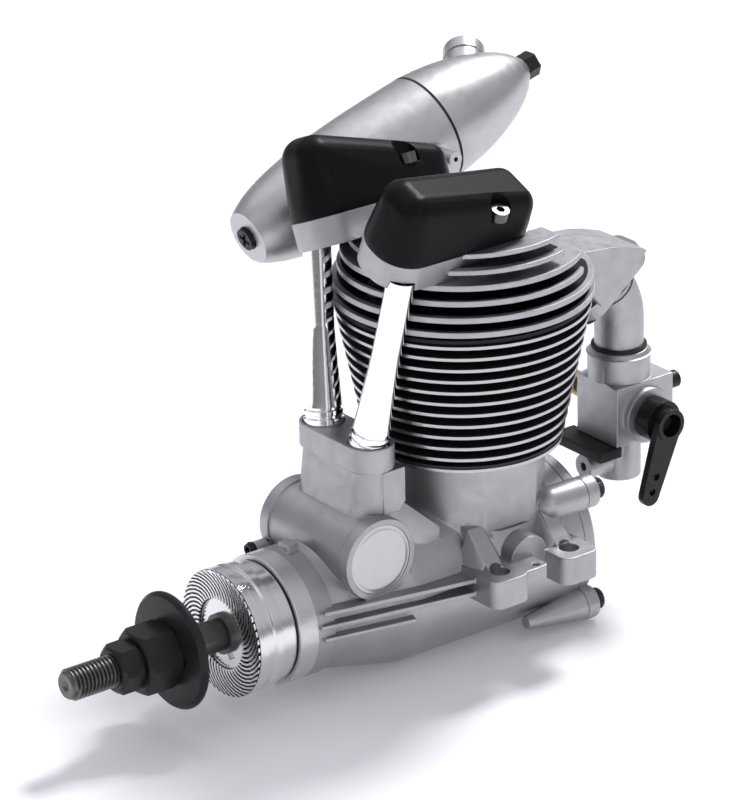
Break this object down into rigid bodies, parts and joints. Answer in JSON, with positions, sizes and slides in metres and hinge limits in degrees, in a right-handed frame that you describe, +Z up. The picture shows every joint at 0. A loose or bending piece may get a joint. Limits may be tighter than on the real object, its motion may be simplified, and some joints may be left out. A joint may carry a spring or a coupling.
{
  "type": "model aircraft engine",
  "caption": "Single-cylinder four-stroke glow engine for model aircraft with pushrod tubes, rocker covers, carburettor, muffler and propeller shaft.",
  "frame": {"origin": "centre of the four mounting holes at the underside of the mounting lugs, on the crankshaft axis under the cylinder", "axes": "+Z up along the cylinder, -Y along the crankshaft to the propeller, +X to the throttle arm side"},
  "size_m": [0.0976, 0.1819, 0.1298],
  "materials": {
    "alloy_cast": "fine-grained satin casting",
    "alloy_machined": "machined",
    "bright_alloy": "polished",
    "black_cover": "satin black",
    "black_arm": "black moulded",
    "black_steel": "blackened steel",
    "grey_steel": "ground steel",
    "rubber": "matt",
    "brass": "machined"
  },
  "bodies": {
    "engine": {"crankcase": "alloy_cast", "breather_nipple": "alloy_machined", "rear_cover": "alloy_cast", "rear_cover_screws": "black_steel", "cam_cover_right": "alloy_machined", "cam_cover_left": "alloy_machined", "cam_bearings": "brass", "main_bearing": "grey_steel", "front_bearing": "grey_steel", "pushrod_tube_right": "bright_alloy", "pushrod_tube_left": "bright_alloy", "tube_seals": "rubber", "cylinder": "alloy_machined", "cylinder_liner": "grey_steel", "cylinder_head": "alloy_cast", "head_screws": "grey_steel", "rocker_cover_right": "black_cover", "rocker_cover_left": "black_cover", "rocker_cover_screws": "grey_steel", "rocker_shafts": "grey_steel", "valve_springs": "grey_steel", "glow_plug": "brass", "intake_pipe": "alloy_cast", "intake_screws": "black_steel", "intake_seal": "rubber", "carburettor": "alloy_cast", "idle_stop_screw": "black_steel", "needle_valve": "brass", "muffler_front": "alloy_cast", "muffler_rear": "alloy_cast", "muffler_seal": "rubber", "muffler_bolt": "black_steel", "pressure_nipple": "alloy_machined", "exhaust_header": "bright_alloy"},
    "crank": {"crankshaft": "grey_steel", "main_bearing_inner": "grey_steel", "front_bearing_inner": "grey_steel", "drive_washer": "bright_alloy", "drive_key": "grey_steel", "prop_washer": "black_steel", "prop_nut": "black_steel", "lock_nut": "black_steel"},
    "camshaft": {"camshaft": "grey_steel"},
    "piston": {"piston": "alloy_machined", "piston_ring": "grey_steel", "wrist_pin": "grey_steel", "connecting_rod": "alloy_machined"},
    "intake_push": {"intake_tappet": "grey_steel", "intake_pushrod": "grey_steel"},
    "exhaust_push": {"exhaust_tappet": "grey_steel", "exhaust_pushrod": "grey_steel"},
    "intake_rocker": {"intake_rocker": "grey_steel"},
    "exhaust_rocker": {"exhaust_rocker": "grey_steel"},
    "intake_valve": {"intake_valve": "grey_steel", "intake_retainer": "grey_steel"},
    "exhaust_valve": {"exhaust_valve": "grey_steel", "exhaust_retainer": "grey_steel"},
    "throttle": {"throttle_barrel": "grey_steel", "throttle_arm": "black_arm", "throttle_screw": "grey_steel"}
  },
  "joints": [
    {"name": "crank_spin", "type": "hinge", "parent": "engine", "child": "crank", "pos_m": [0, 0, 0], "axis": [0, 1, 0], "continuous": true},
    {"name": "cam_spin", "type": "hinge", "parent": "engine", "child": "camshaft", "pos_m": [0, -0.0393, 0.0152], "axis": [1, 0, 0], "continuous": true},
    {"name": "piston_slide", "type": "slide", "parent": "engine", "child": "piston", "axis": [0, 0, 1], "range_m": [-0.0248, 0]},
    {"name": "intake_rock", "type": "hinge", "parent": "engine", "child": "intake_rocker", "pos_m": [0.01756, -0.01501, 0.09303], "axis": [-0.9205, 0, 0.3907], "range_deg": [0, 8.02]},
    {"name": "exhaust_rock", "type": "hinge", "parent": "engine", "child": "exhaust_rocker", "pos_m": [-0.01756, -0.01501, 0.09303], "axis": [-0.9205, 0, -0.3907], "range_deg": [0, 8.02]},
    {"name": "intake_push_slide", "type": "slide", "parent": "engine", "child": "intake_push", "axis": [0.174, 0.1067, 0.9789], "range_m": [0, 0.00224]},
    {"name": "exhaust_push_slide", "type": "slide", "parent": "engine", "child": "exhaust_push", "axis": [-0.174, 0.1067, 0.9789], "range_m": [0, 0.00224]},
    {"name": "intake_valve_slide", "type": "slide", "parent": "engine", "child": "intake_valve", "axis": [-0.3907, 0, -0.9205], "range_m": [0, 0.0021], "deforming": ["valve_springs"]},
    {"name": "exhaust_valve_slide", "type": "slide", "parent": "engine", "child": "exhaust_valve", "axis": [0.3907, 0, -0.9205], "range_m": [0, 0.0021]},
    {"name": "throttle_turn", "type": "hinge", "parent": "engine", "child": "throttle", "pos_m": [0, 0.0514, 0.0253], "axis": [1, 0, 0], "range_deg": [0, 65]}
  ],
  "couplings": [
    {"joint": "cam_spin", "follows": "crank_spin", "ratio": 0.5},
    {"joint": "intake_push_slide", "follows": "intake_rock", "m_per_rad": 0.016},
    {"joint": "intake_valve_slide", "follows": "intake_rock", "m_per_rad": 0.015006},
    {"joint": "exhaust_push_slide", "follows": "exhaust_rock", "m_per_rad": 0.016},
    {"joint": "exhaust_valve_slide", "follows": "exhaust_rock", "m_per_rad": 0.015006}
  ]
}
